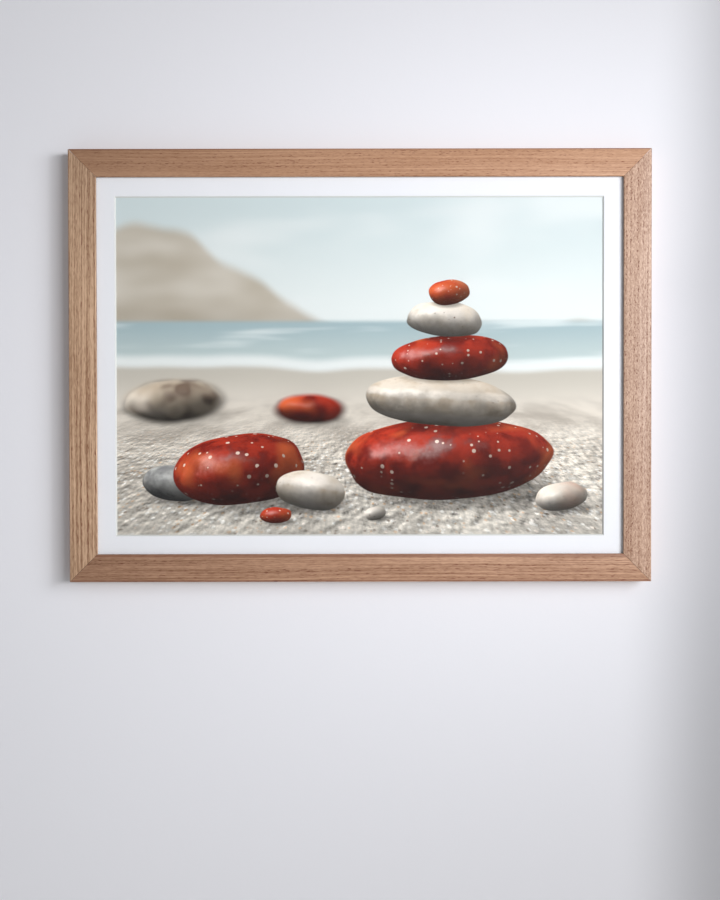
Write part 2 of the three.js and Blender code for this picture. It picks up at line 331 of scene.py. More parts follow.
def hardboard():
    """Pressed wood fibre: fine strands lying every way, dark specks and a calendered sheen."""
    f = Finish("hardboard")
    place = f.place()
    bend = f.noise(place, 60.0, output=1)
    loose = f.vector("ADD", place, f.tint(f.vector("SUBTRACT", bend, (0.5, 0.5, 0.5)), 0.003))
    strand = (3.2 * MM, 1 * MM, 0.45 * MM)
    strands = [
        f.noise(f.move(loose, rotation=(0, turn, 0), scale=strand, kind="TEXTURE"), 1.0, 2.0, 0.6)
        for turn in (0.1, 0.9, 1.7, 2.5)
    ]
    matted = strands[0]
    for other in strands[1:]:
        matted = f.math("MAXIMUM", matted, other)
    cloud = f.noise(place, 11.0, 3.0)
    fleck = f.noise(place, 520.0, 2.0, 0.6)
    colour = f.mix(f.step(matted, 0.52, 0.74), linear(116, 86, 60), linear(141, 107, 77))
    colour = f.mix(f.step(cloud, 0.35, 0.70) * 0.4, colour, linear(124, 91, 64))
    colour = f.mix(f.step(fleck, 0.66, 0.76) * 0.55, colour, linear(66, 45, 30))
    return f.surface(Base_Color=colour, Roughness=0.56 - matted * 0.14,
                     Normal=f.bump(matted, 0.05 * MM, 0.6), Specular_IOR_Level=0.4)


def plated_steel(name, tone=1.0):
    """Zinc plate over pressed steel: a faint crystal pattern, fine rubs and dull spots."""
    f = Finish(name)
    place = f.place()
    _, chance = f.cells(place, 520.0)
    spangle = f.dot(chance, (0.5, 0.5, 0))
    rubs = f.noise(f.move(place, rotation=(0.3, 0.7, 0.2), scale=(260, 260, 5200)), 1.0, 3.0, 0.6)
    dull = f.noise(place, 160.0, 3.0)
    tone = (0.90 + spangle * 0.10 - f.step(dull, 0.55, 0.75) * 0.16) * tone
    colour = f.mix(f.step(dull, 0.4, 0.7) * 0.5, linear(214, 214, 210), linear(208, 204, 190))
    rough = 0.26 + f.step(dull, 0.45, 0.75) * 0.20 + (rubs - 0.5) * 0.18 + (spangle - 0.5) * 0.06
    return f.surface(Base_Color=f.tint(colour, tone), Metallic=1.0, Roughness=rough,
                     Normal=f.bump(rubs + spangle * 0.4, 0.02 * MM, 0.5))


def rubber():
    f = Finish("bumper rubber")
    place = f.place()
    grain = f.noise(place, 1900.0, 3.0, 0.7)
    bloom = f.noise(place, 240.0, 3.0)
    colour = f.mix(f.step(bloom, 0.45, 0.8) * 0.5, linear(44, 44, 45), linear(92, 91, 89))
    return f.surface(Base_Color=f.tint(colour, 0.9 + grain * 0.2), Roughness=0.74 + bloom * 0.2,
                     Normal=f.bump(grain, 0.05 * MM, 0.6))


def glass():
    """Clear glazing: what is behind shows through, and its faces reflect more at a glancing angle."""
    f = Finish("clear glazing")
    facing = f.out("ShaderNodeLayerWeight", None, {"Blend": 0.5}, "Facing")
    reflected = 0.022 + facing ** 5 * 0.90
    clear = f.out("ShaderNodeBsdfTransparent", None, {"Color": (0.985, 0.992, 0.990, 1)})
    smear = f.noise(f.place(), 14.0, 3.0)
    shine = f.out("ShaderNodeBsdfAnisotropic", {"distribution": "GGX"},
                  {"Color": (1, 1, 1, 1), "Roughness": 0.02 + f.step(smear, 0.5, 0.8) * 0.05})
    both = f.out("ShaderNodeMixShader", None, {0: reflected, 1: clear, 2: shine})
    f.node("ShaderNodeOutputMaterial", None, {"Surface": both})
    return f.material


# ---- The print's picture: a still life of stones on a beach ----

LAMP = Vector((-0.50, 0.42, 0.76)).normalized()  # towards the light: across, out of the picture, up
GLOSS = (LAMP + Vector((0, 1, 0))).normalized()
SHINE, SHINE_POWER = linear(245, 244, 240), 30  # the higher the power, the smaller the shine
BLUNT = 0.2  # how far a stone's outline goes from an ellipse to a rounded box
LUMPY = 0.55  # how far its surface rises and falls from that
ROUGH = 0.75  # how far its grain tilts the surface
SOFT_EDGE = 0.007  # how wide the edge of a stone in focus is
RED, RED_DARK, CORAL = linear(180, 50, 28), linear(116, 22, 10), linear(212, 96, 52)
CREAM, ROSE, ORANGE = linear(238, 212, 195), linear(224, 192, 174), linear(222, 126, 86)
SHELL, BEIGE, BUFF, BROWN = (
    linear(232, 221, 211), linear(217, 203, 188), linear(192, 174, 154), linear(122, 94, 76))
GREY, SLATE = linear(182, 180, 177), linear(128, 126, 126)
SAND_PALE, SAND_GREY, SAND_DARK = linear(232, 221, 209), linear(188, 177, 166), linear(118, 98, 84)
HORIZON = 0.75  # how high it lies, for the sand
SAND_NEAR, GRAIN_WARM, GRAIN_WHITE = linear(186, 181, 174), linear(214, 176, 140), linear(240, 236, 232)
SKY_LOW, SKY_HIGH, CLOUD = linear(238, 241, 240), linear(214, 224, 226), linear(241, 243, 243)
ROCK_DARK, ROCK_PALE, ROCK_FOOT = linear(190, 178, 162), linear(219, 210, 199), linear(172, 160, 145)
SEA_FAR, SEA_NEAR, SWELL, FOAM = (
    linear(168, 188, 194), linear(196, 208, 208), linear(234, 239, 239), linear(240, 242, 241))
WET_NEAR, WET_FAR = linear(204, 196, 185), linear(230, 220, 209)

# A kind of stone: its light, dark and patch colours, its dots' colour, size and fineness, its bands.
RED_STONE = (RED, RED_DARK, CORAL, CREAM, 0.30, 9.0, 0.0)
FINE_RED = (RED, RED_DARK, CORAL, CREAM, 0.30, 13.0, 0.0)
PLAIN_RED = (RED, RED_DARK, CORAL, CREAM, 0.0, 9.0, 0.0)
CORAL_STONE = (CORAL, RED, ORANGE, CREAM, 0.30, 20.0, 0.0)
BANDED = (BEIGE, BUFF, SHELL, BROWN, 0.16, 16.0, 22.0)
PALE_STONE = (SHELL, BEIGE, ROSE, BROWN, 0.22, 17.0, 0.0)
GREY_STONE = (GREY, SLATE, SHELL, SLATE, 0.18, 24.0, 0.0)
BUFF_STONE = (BUFF, SAND_DARK, BEIGE, CREAM, 0.0, 9.0, 0.0)


def backdrop(f, field):
    """Sky, a headland, the sea and its foam, all out of focus."""
    x, _, z = f.split(field)
    cloud = f.noise(f.move(field, scale=(0.5, 1, 1.5)), 0.9)
    colour = f.mix(f.step(z, 0.4, 2.1), SKY_LOW, SKY_HIGH)
    colour = f.mix(f.step(cloud, 0.45, 0.70) * 0.7, colour, CLOUD)
    ridge = f.noise(f.join(x, 0.0, 3.0), 0.8, 1.5)
    hill = 0.62 + ridge * 1.1 + f.step(x, -0.9, -2.6) * 0.45 - f.step(x, -1.6, -0.1) * 0.8
    rock = f.step(f.noise(f.move(field, scale=(0.8, 1, 2.0)), 1.3, 1.0), 0.25, 0.75)
    rock = f.mix(rock, ROCK_DARK, ROCK_PALE)
    rock = f.mix(f.step(z, 0.9, 0.45) * 0.5, rock, ROCK_FOOT)
    colour = f.mix(f.step(hill - z, -0.08, 0.10), colour, rock)
    swell = f.noise(f.move(field, scale=(0.35, 1, 3.2)), 1.6)
    sea = f.mix(f.step(z, 0.60, 0.05), SEA_FAR, SEA_NEAR)
    sea = f.mix(f.step(swell, 0.50, 0.72) * 0.75, sea, SWELL)
    colour = f.mix(f.step(z, 0.58, 0.50), colour, sea)
    shore = z + (f.noise(f.join(x, 0.0, 8.0), 0.7, 1.0) - 0.5) * 0.25
    colour = f.mix(f.step(shore, 0.16, 0.04), colour, FOAM)
    wet = f.mix(f.step(shore, -0.05, -0.55), WET_NEAR, WET_FAR)
    return f.mix(f.step(shore, 0.02, -0.08), colour, wet)


def beach(f, under, field):
    """Dry sand that comes into focus towards the foot of the picture."""
    x, _, z = f.split(field)
    near = 1 / (HORIZON - z)  # the sand lies on a level plane
    plane = f.join(x * near, near * 3.4, 0.0)
    drift = f.noise(plane, 2.6, 3.0)
    focus = f.step(z, -0.55, -1.15) * f.step(z, -2.25, -1.75, 0.35, 1.0)
    lump = f.noise(plane, 16.0, 4.0, 0.65)
    shifted = f.noise(f.vector("ADD", plane, (0.012, -0.016, 0)), 16.0, 4.0, 0.65)
    grain = f.noise(f.move(plane, scale=(1, 1.2, 1)), 150.0, 2.0, 0.7)
    colour = f.mix(f.step(drift, 0.32, 0.68), SAND_GREY, SAND_PALE)
    colour = f.mix(f.step(z, -0.9, -2.0) * 0.45, colour, SAND_NEAR)
    bits, chance = f.cells(plane, 46.0)
    dark, warm, white = f.split(chance)
    for kind, start, size, tone in (
        (dark, 0.80, 0.20, SAND_DARK), (warm, 0.72, 0.25, GRAIN_WARM), (white, 0.74, 0.30, GRAIN_WHITE),
    ):
        spot = f.step(kind, start, start + 0.07) * f.step(bits, size + 0.25, size)
        colour = f.mix(spot * focus * 0.75, colour, tone)
    shade = 1 + ((lump - shifted) * 3.2 + (grain - 0.5) * 0.75) * focus + (lump - 0.5) * 0.22
    return f.mix(f.step(z, -0.30, -0.62), under, f.tint(colour, shade))


def shadow(f, under, field, at, radii, deep):
    """A soft oval shade, deepest in its middle."""
    spot = f.move(field, location=(at[0], 0, at[1]), scale=(radii[0], 1, radii[1]), kind="TEXTURE")
    return f.tint(under, f.step(f.dot(spot, spot), 0.0, 1.0, 1 - deep, 1.0))


def stone(f, under, field, seed, kind, at, radii, turn=0.0, blur=0.0, wet=0.35, covered=None):
    """A smooth stone over what is drawn so far: a lumpy ellipsoid, lit from the upper left.

    covered is where another stone rests on it and keeps the light off: place and half sizes.
    """
    light, dark, patch, dots, dot_size, dot_scale, bands = kind
    rx, rz = radii
    ry = min(rx, 1.6 * rz)
    local = f.move(field, (at[0], 0, at[1]), (0, -turn, 0), (rx, 1, rz), "TEXTURE")
    lumps = f.noise(f.move(local, location=(seed * 3.1, seed * 1.7, 0)), 0.9, 1.0)
    square = f.vector("MULTIPLY", local, local)
    quartic = f.math("SQRT", f.dot(square, square))  # rounder ends than an ellipsoid's
    reach = (f.dot(local, local) * (1 - BLUNT) + quartic * BLUNT) * (1 + (lumps - 0.5) * LUMPY)
    soft = SOFT_EDGE / rz + blur
    mask = f.step(reach, 1 + soft, 1 - soft)
    across, _, up = f.split(local)
    body = f.join(across, f.math("SQRT", f.math("MAXIMUM", 1 - reach, 0.0)), up)
    place = f.move(body, location=(seed, seed * 0.37, -seed), scale=(rx, ry, rz))
    detail = 1.0 if blur else 5.0
    grain = f.node("ShaderNodeTexNoise", None,
                   {"Vector": place, "Scale": 3.2, "Detail": detail, "Roughness": 0.62})
    mottle, tilt = Value(f, grain.outputs[0]), Value(f, grain.outputs[1])
    lean = f.vector("MULTIPLY", body, (1 / rx, 1 / ry, 1 / rz))
    rough = f.tint(f.vector("SUBTRACT", tilt, (0.5, 0.5, 0.5)), ROUGH / rz)
    normal = f.vector("NORMALIZE", f.vector("ADD", lean, rough))
    upright = Matrix.Rotation(-turn, 3, "Y")
    facing = f.out("ShaderNodeClamp", None, {0: (f.dot(normal, tuple(upright @ LAMP)) + 0.3) / 1.3})
    shade = 0.25 + facing * facing * 0.78 + f.dot(normal, (0, 0, 0.17))
    shade = shade * (1 - f.step(up, -0.40, -1.05) * 0.40)
    if covered:
        x, z, wide, high = covered
        spot = f.move(field, location=(x, 0, z), scale=(wide, 1, high), kind="TEXTURE")
        shade = shade * f.step(f.dot(spot, spot), 0.15, 1.0, 0.4, 1.0)
    colour = f.mix(f.step(mottle, 0.36, 0.62), dark, light)
    colour = f.mix(f.step(f.noise(place, 1.4), 0.52, 0.70), colour, patch)
    if bands:
        wave = f.math("SINE", (up * rz + (mottle - 0.5) * 0.16) * bands)
        colour = f.mix(f.step(wave, 0.1, 0.9) * 0.6, colour, patch)
    if dot_size:
        distance, chance = f.cells(place, dot_scale)
        dot = f.step(f.dot(chance, (dot_size, 0, 0)) - distance, 0.0, 0.09)
        colour = f.mix(dot * 0.92, colour, dots)
    shine = f.math("MAXIMUM", f.dot(normal, tuple(upright @ GLOSS)), 0.0) ** SHINE_POWER
    colour = f.vector("ADD", f.tint(colour, shade * 1.25), f.tint(SHINE, shine * wet * 0.8))
    return f.mix(mask, under, colour)


def picture(f, field):
    """The whole picture. The field is X and Z in units of 100 mm, from the picture's centre."""
    colour = backdrop(f, field)
    colour = beach(f, colour, field)
    # Stones in the distance.
    far = {"wet": 0.1, "blur": 0.32}
    colour = shadow(f, colour, field, (-2.20, -0.60), (0.75, 0.16), 0.35)
    colour = stone(f, colour, field, 11, BUFF_STONE, (-2.25, -0.42), (0.60, 0.25), 0.05, **far)
    colour = shadow(f, colour, field, (-0.55, -0.66), (0.55, 0.12), 0.35)
    colour = stone(f, colour, field, 12, PLAIN_RED, (-0.60, -0.52), (0.42, 0.18), -0.03, **far)
    # The stack, from the bottom up. Each stone is shaded where the next one rests on it.
    colour = shadow(f, colour, field, (1.30, -1.52), (1.62, 0.30), 0.72)
    for seed, kind, at, radii, turn, covered in (
        (1, RED_STONE, (1.05, -1.12), (1.28, 0.47), 0.03, (1.05, -0.66, 0.95, 0.20)),
        (2, BANDED, (0.98, -0.42), (0.92, 0.30), -0.06, (1.05, -0.10, 0.70, 0.14)),
        (3, FINE_RED, (1.08, 0.10), (0.70, 0.27), 0.05, (1.04, 0.37, 0.46, 0.11)),
        (4, PALE_STONE, (1.02, 0.56), (0.46, 0.21), -0.09, (1.06, 0.76, 0.24, 0.08)),
        (5, CORAL_STONE, (1.07, 0.89), (0.25, 0.15), 0.08, None),
    ):
        colour = stone(f, colour, field, seed, kind, at, radii, turn, covered=covered)
    # The stones beside it, each with its shadow on the sand.
    for seed, kind, at, radii, turn in (
        (6, GREY_STONE, (-2.25, -1.42), (0.38, 0.21), -0.10),
        (7, RED_STONE, (-1.45, -1.25), (0.80, 0.43), 0.10),
        (8, BANDED, (-0.60, -1.50), (0.42, 0.23), -0.12),
        (9, PALE_STONE, (2.42, -1.58), (0.31, 0.17), 0.12),
        (10, CORAL_STONE, (-1.02, -1.80), (0.19, 0.10), 0.0),
        (13, PALE_STONE, (0.18, -1.78), (0.13, 0.08), 0.2),
    ):
        foot = (at[0] + 0.18 * radii[0], at[1] - 0.82 * radii[1])
        colour = shadow(f, colour, field, foot, (1.32 * radii[0], 0.62 * radii[1]), 0.66)
        colour = stone(f, colour, field, seed, kind, at, radii, turn)
    return colour


def printed_paper():
    """The print: the picture on pearl paper."""
    f = Finish("printed pearl paper")
    place = f.place()
    image = picture(f, f.vector("MULTIPLY", place, (10, 0, 10)))
    pearl = f.noise(place, 2600.0)
    return f.surface(Base_Color=image, Roughness=0.36 + (pearl - 0.5) * 0.12,
                     Normal=f.bump(pearl, 0.01 * MM, 0.4), Specular_IOR_Level=0.15)


# ---- Making pieces ----

SHARP_FROM = math.radians(32)  # an edge that turns further than this isn't smoothed


def new_object(name, mesh):
    made = bpy.data.objects.new(name, mesh)
    bpy.context.scene.collection.objects.link(made)
    return made


def mesh_of(name, points, faces=(), edges=()):
    made = bpy.data.meshes.new(name)
    made.from_pydata([tuple(p) for p in points], edges, faces)
    made.validate()
    return made


def row(name, points):
    """A mesh of points joined in a row, for a tree to follow."""
    return mesh_of(name, points, edges=[(i, i + 1) for i in range(len(points) - 1)])


def outward(mesh):
    """Turns every face to point out of its solid."""
    work = bmesh.new()
    work.from_mesh(mesh)
    bmesh.ops.remove_doubles(work, verts=work.verts, dist=1e-7)
    bmesh.ops.recalc_face_normals(work, faces=work.faces)
    work.to_mesh(mesh)
    work.free()
    return mesh


def corners(left, right, low, high):
    return (left, low), (right, low), (right, high), (left, high)


def on_axis(node, y):
    """The point at depth y on the middle line of a node."""
    low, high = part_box(node)
    return (low.x + high.x) / 2, y, (low.z + high.z) / 2


def finished(piece, body, nodes, material):
    """Gives a piece its material and says where it belongs."""
    piece.data.materials.clear()
    piece.data.materials.append(material)
    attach(piece, body)
    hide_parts(*nodes)
    return piece


class Recipe(Graph):
    """A geometry node tree. Its inputs are a mesh, sizes by name, and the material."""

    def __init__(self, name, **sizes):
        super().__init__(bpy.data.node_groups.new(name, "GeometryNodeTree"))
        interface = self.tree.interface
        interface.new_socket("Geometry", in_out="OUTPUT", socket_type="NodeSocketGeometry")
        interface.new_socket("Geometry", in_out="INPUT", socket_type="NodeSocketGeometry")
        self.keys = {}
        for size, default in sizes.items():
            kind = "NodeSocketInt" if isinstance(default, int) else "NodeSocketFloat"
            socket = interface.new_socket(size, in_out="INPUT", socket_type=kind)
            socket.default_value = default
            self.keys[size] = socket.identifier
        socket = interface.new_socket("Material", in_out="INPUT", socket_type="NodeSocketMaterial")
        self.keys["Material"] = socket.identifier
        self.entry = self.tree.nodes.new("NodeGroupInput")
        self.defaults = sizes

    def given(self, name):
        return Value(self, self.entry.outputs[name])

    def transform(self, geometry, shift=(0, 0, 0), turn=(0, 0, 0)):
        inputs = {"Geometry": geometry, "Translation": shift, "Rotation": turn}
        return self.out("GeometryNodeTransform", None, inputs)

    def hull(self, parts):
        """A skin drawn tight round all the parts."""
        joined = self.out("GeometryNodeJoinGeometry", None, {0: parts})
        return self.out("GeometryNodeConvexHull", None, {0: joined})

    def circle(self, sides, radius):
        inputs = {"Resolution": sides, "Radius": radius}
        return self.out("GeometryNodeCurvePrimitiveCircle", None, inputs)

    def sweep(self, path, profile, caps=True):
        inputs = {"Curve": path, "Profile Curve": profile, "Fill Caps": caps}
        return self.out("GeometryNodeCurveToMesh", None, inputs)

    def end(self, geometry):
        """Makes the instances real and gives them the material."""
        real = self.out("GeometryNodeRealizeInstances", None, {0: geometry})
        inputs = {"Geometry": real, "Material": self.given("Material")}
        painted = self.out("GeometryNodeSetMaterial", None, inputs)
        self.node("NodeGroupOutput", None, {0: painted})

    def make(self, name, mesh, material, cutters=(), **sizes):
        """Runs the tree on a mesh and gives the result as a plain mesh object."""
        made = new_object(name, mesh)
        modifier = made.modifiers.new("recipe", "NODES")
        modifier.node_group = self.tree
        for size, value in {**self.defaults, **sizes, "Material": material}.items():
            modifier[self.keys[size]] = value
        for cutter in cutters:
            boolean = made.modifiers.new("cut", "BOOLEAN")
            boolean.operation, boolean.solver, boolean.object = "DIFFERENCE", "EXACT", cutter
        evaluated = made.evaluated_get(bpy.context.evaluated_depsgraph_get())
        plain = bpy.data.meshes.new_from_object(evaluated)
        made.modifiers.clear()
        made.data = outward(plain)
        plain.shade_smooth()
        plain.set_sharp_from_angle(angle=SHARP_FROM)
        return made


# ---- The moulding ----

FRONT_EASE, BACK_EASE, ARRIS = 1.2 * MM, 0.5 * MM, 0.3 * MM
ARC_STEPS = 6


def moulding_section():
    """The outline across a member, its edges eased: (distance in from the outer edge, depth)."""
    outline = []
    for centre, start in ((FRONT_EASE, 180), (SIGHT - FRONT_EASE, 270)):
        for i in range(ARC_STEPS + 1):
            angle = math.radians(start + 90 * i / ARC_STEPS)
            outline.append((centre + FRONT_EASE * math.cos(angle),
                            FRONT + FRONT_EASE * (1 + math.sin(angle))))
    outline += [(SIGHT, LIP_BACK - ARRIS), (SIGHT - ARRIS, LIP_BACK), (REBATE, LIP_BACK)]
    outline += [(REBATE, BACK - ARRIS), (REBATE - ARRIS, BACK)]
    for i in range(4):
        angle = math.radians(90 + 30 * i)
        outline.append((BACK_EASE * (1 + math.cos(angle)), BACK + BACK_EASE * (math.sin(angle) - 1)))
    return outline


def moulding_recipe():
    """Sweeps the section along X, saws both ends at 45 degrees and turns the member to its side."""
    t = Recipe("Mitred moulding", Length=WIDTH, Offset=HEIGHT / 2, Turn=0.0, Saw=GAP / math.sqrt(2))
    half = t.given("Length") * 0.5
    ends = {"Start": t.join(half * -1, 0.0, 0.0), "End": t.join(half, 0.0, 0.0)}
    path = t.out("GeometryNodeCurvePrimitiveLine", None, ends)
    section = t.out("GeometryNodeMeshToCurve", None, {0: t.given("Geometry")})
    swept = t.sweep(path, section)
    x, y, inward = t.split(t.out("GeometryNodeInputPosition"))
    sawn = x * ((half - inward - t.given("Saw")) / half)
    place = t.join(sawn, y, inward - t.given("Offset"))
    placed = t.out("GeometryNodeSetPosition", None, {"Geometry": swept, "Position": place})
    t.end(t.transform(placed, turn=t.join(0.0, t.given("Turn"), 0.0)))
    return t


def nail_pockets():
    """A cutter for the slits that the V-nails are driven into, two to a mitre."""
    points, faces = [], []
    room, thickness, past_back = 0.15 * MM, 0.8 * MM, 1 * MM
    for node in sorted(n for n in NODES if n.startswith("v_nail")):
        low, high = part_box(node)
        # The nail's corner points to the middle of the frame, and its legs run outwards.
        sides = []
        for least, most in ((low.x, high.x), (low.z, high.z)):
            way = -math.copysign(1, least)
            tip, end = (most, least) if way > 0 else (least, most)
            sides += [tip + way * room, tip - way * (thickness + room), end - way * room]
        x0, x1, x2, z0, z1, z2 = sides
        outline = [(x0, z0), (x2, z0), (x2, z1), (x1, z1), (x1, z2), (x0, z2)]
        first = len(points)
        for y in (low.y - room, BACK + past_back):
            points += [(x, y, z) for x, z in outline]
        ring = range(first, first + 6)
        faces += [tuple(ring), tuple(i + 6 for i in reversed(ring))]
        for i in ring:
            after = first + (i + 1 - first) % 6
            faces.append((i, i + 6, after + 6, after))
    return new_object("nail_pockets", outward(mesh_of("nail_pockets", points, faces)))


def moulding(finishes):
    section = [(-y, -inward, 0) for inward, y in moulding_section()]
    edges = [(i, (i + 1) % len(section)) for i in range(len(section))]
    recipe = moulding_recipe()
    pockets = nail_pockets()
    for name, turn, length, offset in (
        ("rail_bottom", 0.0, WIDTH, HEIGHT / 2), ("rail_top", math.pi, WIDTH, HEIGHT / 2),
        ("stile_left", math.pi / 2, HEIGHT, WIDTH / 2),
        ("stile_right", -math.pi / 2, HEIGHT, WIDTH / 2),
    ):
        piece = recipe.make("oak_" + name, mesh_of(name, section, edges=edges), finishes[name],
                            cutters=[pockets], Length=length, Offset=offset, Turn=turn)
        finished(piece, "frame", [name], finishes[name])
    bpy.data.objects.remove(pockets)


# ---- Screws, buttons, bumpers, rings and straps ----

HEAD_HEIGHT = 1.9 * MM  # of a screw
SCREW_HOLE = 1.8 * MM  # the radius of a hole for one
WIRE = 1.1 * MM  # the radius of the rings' wire
TAIL_ROUND = 4.5 * MM  # how much of a strap's tail is round


def stacked(t, rings, sides):
    """A solid of rings about Z, given as (radius, height)."""
    circles = []
    for radius, height in rings:
        circle = t.out("GeometryNodeMeshCircle", None, {"Vertices": sides, "Radius": radius})
        circles.append(t.transform(circle, t.join(0.0, 0.0, height)))
    return t.hull(circles)


def on_points(t, instance, seed):
    """The instance on each point of the mesh, its Z axis towards the wall, turned by chance."""
    half_turn = {2: 0.0, 3: math.pi, "Seed": seed}
    chance = t.node("FunctionNodeRandomValue", {"data_type": "FLOAT"}, half_turn)
    turn = t.join(-math.pi / 2, Value(t, chance.outputs[1]), 0.0)
    return t.out("GeometryNodeInstanceOnPoints", None,
                 {"Points": t.given("Geometry"), "Instance": instance, "Rotation": turn})


def screw_recipe():
    """Pan-head screws with a cross recess, one on each point, which is under its head."""
    t = Recipe("Pan-head screw", Head=3.4 * MM, Height=HEAD_HEIGHT, Shank=1.5 * MM, Length=13 * MM,
               Slot=0.75 * MM, Recess=1.2 * MM, Sides=40, Seed=4)
    head, height, shank, length = (t.given(n) for n in ("Head", "Height", "Shank", "Length"))
    sides, top = t.given("Sides"), t.given("Height")
    profile = [(head * 0.97, 0.0), (head, height * 0.06), (head, height * 0.34)]
    for i in range(1, 7):
        angle = math.radians(15 * i)
        profile.append((head * (0.46 + 0.54 * math.cos(angle)),
                        height * (0.34 + 0.66 * math.sin(angle))))
    cap = stacked(t, profile, sides)
    point = [(shank, height * 0.4), (shank, length * -0.62), (shank * 0.06, length * -1)]
    stem = stacked(t, point, sides)
    join, cut = ({"operation": kind, "solver": "EXACT"} for kind in ("UNION", "DIFFERENCE"))
    screw = t.out("GeometryNodeMeshBoolean", join, {"Mesh 2": [cap, stem]})
    wide, deep = t.given("Slot"), t.given("Recess")
    for turn in (0.0, math.pi / 2):
        ends = []
        for share, lift in ((1.0, 0.02 * MM), (0.34, deep * -1)):
            size = t.join(head * (1.16 * share), wide * (0.72 + 0.28 * share), 0.01 * MM)
            bar = t.out("GeometryNodeMeshCube", None, {"Size": size})
            ends.append(t.transform(bar, t.join(0.0, 0.0, top + lift)))
        arm = t.transform(t.hull(ends), turn=(0, 0, turn))
        screw = t.out("GeometryNodeMeshBoolean", cut, {"Mesh 1": screw, "Mesh 2": arm})
    t.end(on_points(t, screw, t.given("Seed")))
    return t


def screws(steel):
    nodes = sorted(n for n in NODES if "_screw_" in n)
    points = [on_axis(node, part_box(node)[1].y - HEAD_HEIGHT) for node in nodes]
    piece = screw_recipe().make("screws", mesh_of("screws", points), steel)
    finished(piece, "frame", nodes, steel)


def bumpers(finish):
    t = Recipe("Bumper", Radius=6 * MM, Height=4.7 * MM, Sides=48, Seed=2)
    radius, height = t.given("Radius"), t.given("Height")
    profile = [(radius * 0.96, 0.0), (radius, height * 0.05), (radius * 0.985, height * 0.70)]
    for i in range(1, 5):
        angle = math.radians(22.5 * i)
        profile.append((radius * (0.845 + 0.14 * math.cos(angle)),
                        height * (0.70 + 0.30 * math.sin(angle))))
    t.end(on_points(t, stacked(t, profile, t.given("Sides")), t.given("Seed")))
    nodes = sorted(n for n in NODES if n.startswith("bumper"))
    points = [on_axis(node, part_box(node)[0].y) for node in nodes]
    piece = t.make("bumpers", mesh_of("bumpers", points), finish)
    finished(piece, "frame", nodes, finish)


def button_recipe():
    """A stamped plate: a large eye round the screw, straight flanks and a small tip, edges rounded."""
    t = Recipe("Turn button", Eye=5.5 * MM, Tip=4 * MM, Reach=13 * MM, Thickness=1.2 * MM,
               Edge=0.28 * MM, Hole=SCREW_HOLE, Turn=0.0, X=0.0, Y=0.0, Z=0.0)
    edge, thickness = t.given("Edge"), t.given("Thickness")
    bead = t.circle(12, edge)
    beads = []
    for size, reach in (("Eye", 0.0), ("Tip", t.given("Reach") * -1)):
        ring = t.sweep(t.circle(56, t.given(size) - edge), bead, caps=False)
        for height in (edge, thickness - edge):
            beads.append(t.transform(ring, t.join(0.0, reach, height)))
    hole = stacked(t, [(t.given("Hole"), -1 * MM), (t.given("Hole"), thickness + 1 * MM)], 32)
    both = {"Mesh 1": t.hull(beads), "Mesh 2": hole}
    holed = t.out("GeometryNodeMeshBoolean", {"operation": "DIFFERENCE"}, both)
    place = t.join(t.given("X"), t.given("Y"), t.given("Z"))
    t.end(t.transform(holed, place, t.join(-math.pi / 2, t.given("Turn"), 0.0)))
    return t


def turn_buttons(steel):
    """Each button is a piece on its own body, with its tip towards the middle."""
    recipe = button_recipe()
    turns = {"bottom": 0.0, "top": math.pi, "left": math.pi / 2, "right": -math.pi / 2}
    for node in sorted(n for n in NODES if n.startswith("turn_button")):
        place = node.removeprefix("turn_button_")
        x, y, z = on_axis(node.replace("turn_button", "button_screw"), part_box(node)[0].y)
        piece = recipe.make("plate_" + place, bpy.data.meshes.new("plate_" + place), steel,
                            Turn=turns[place.split("_")[0]], X=x, Y=y, Z=z)
        finished(piece, "button_" + place, [node], steel)


def bent_recipe():
    """Wire bent along the mesh's line."""
    t = Recipe("Bent wire", Radius=WIRE, Sides=24)
    path = t.out("GeometryNodeMeshToCurve", None, {0: t.given("Geometry")})
    t.end(t.sweep(path, t.circle(t.given("Sides"), t.given("Radius"))))
    return t


def arc(centre, radius, start, end, steps):
    """Points on an arc, its angles in degrees."""
    angles = [math.radians(start + (end - start) * i / steps) for i in range(steps + 1)]
    return [(centre[0] + radius * math.cos(a), centre[1] + radius * math.sin(a)) for a in angles]


RING_HALF, RING_CORNER, RING_RISE, RING_SEAM = 8 * MM, 2.4 * MM, 14 * MM, 0.6 * MM


def bar_middle(side):
    """The middle of the straight bar of a ring."""
    low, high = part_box("d_ring_" + side)
    return (low.x + high.x) / 2, (low.y + high.y) / 2, low.z + WIRE


def d_rings(steel):
    """Each ring's wire starts and ends in the middle of its straight bar, inside the strap."""
    across = RING_HALF - RING_CORNER
    line = [(RING_SEAM / 2, 0)] + arc((across, RING_CORNER), RING_CORNER, -90, 0, 10)
    line += arc((0, RING_RISE - RING_HALF), RING_HALF, 0, 180, 48)
    line += arc((-across, RING_CORNER), RING_CORNER, 180, 270, 10) + [(-RING_SEAM / 2, 0)]
    recipe = bent_recipe()
    for side in ("left", "right"):
        x, y, z = bar_middle(side)
        points = [(x + a, y, z + b) for a, b in line]
        piece = recipe.make("ring_" + side, row("ring_" + side, points), steel)
        finished(piece, "ring_" + side, ["d_ring_" + side], steel)


STRAP_THICKNESS, STRAP_WIDTH, STRAP_TAIL, STRAP_FOLD = 0.9 * MM, 11 * MM, 29 * MM, 5.2 * MM


